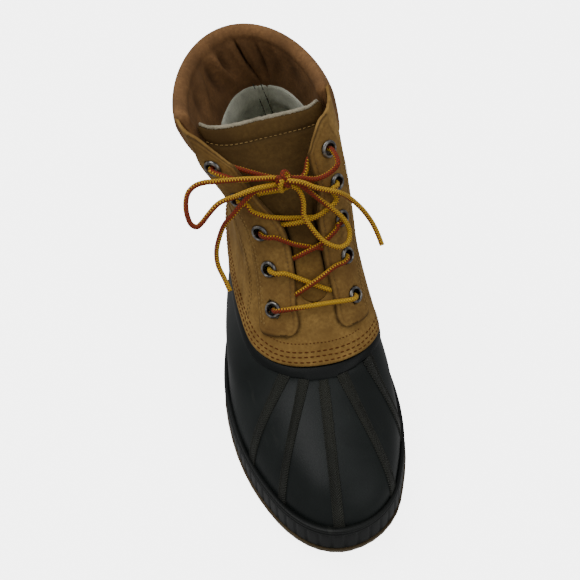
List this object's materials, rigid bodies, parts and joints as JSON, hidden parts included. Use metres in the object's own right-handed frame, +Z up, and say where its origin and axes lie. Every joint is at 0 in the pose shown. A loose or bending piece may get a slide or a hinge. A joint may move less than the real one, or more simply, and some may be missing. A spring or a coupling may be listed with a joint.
{
  "type": "duck boot",
  "caption": "Right duck boot: hollow rubber shell with vamp strips and ribbed foxing under a laced leather shaft, padded collar, tongue and bow.",
  "frame": {"origin": "on the floor under the middle of the boot's box, taken without the loose lace", "axes": "+Z up, toe towards -Y, heel towards +Y, +X towards the inner side of the foot"},
  "size_m": [0.1212, 0.3068, 0.2007],
  "materials": {
    "gum_rubber": "matt gum rubber with moulded lugs",
    "black_rubber": "matt black rubber, softly worn",
    "felt": "grey green felt",
    "nubuck": "brown nubuck leather with fine nap",
    "suede": "rust brown suede",
    "eyelet_metal": "gunmetal lacquered brass",
    "lace": "round braided lace in golden yellow and rust red"
  },
  "bodies": {
    "root": {"outsole": "gum_rubber", "foxing": "black_rubber", "rubber_shell": "black_rubber", "insole": "felt", "leather_upper": "nubuck", "lateral_facing": "nubuck", "medial_facing": "nubuck", "collar": "suede", "tongue": "nubuck", "lateral_eyelet_1": "eyelet_metal", "lateral_eyelet_2": "eyelet_metal", "lateral_eyelet_3": "eyelet_metal", "lateral_eyelet_4": "eyelet_metal", "lateral_eyelet_5": "eyelet_metal", "medial_eyelet_1": "eyelet_metal", "medial_eyelet_2": "eyelet_metal", "medial_eyelet_3": "eyelet_metal", "medial_eyelet_4": "eyelet_metal", "medial_eyelet_5": "eyelet_metal", "lace_bar": "lace", "lace_crossing_1": "lace", "lace_crossing_2": "lace", "lace_crossing_3": "lace", "lace_crossing_4": "lace", "lace_knot": "lace", "lace_lateral_loop": "lace", "lace_medial_loop": "lace", "lace_lateral_end": "lace", "lace_medial_end": "lace"}
  },
  "joints": []
}
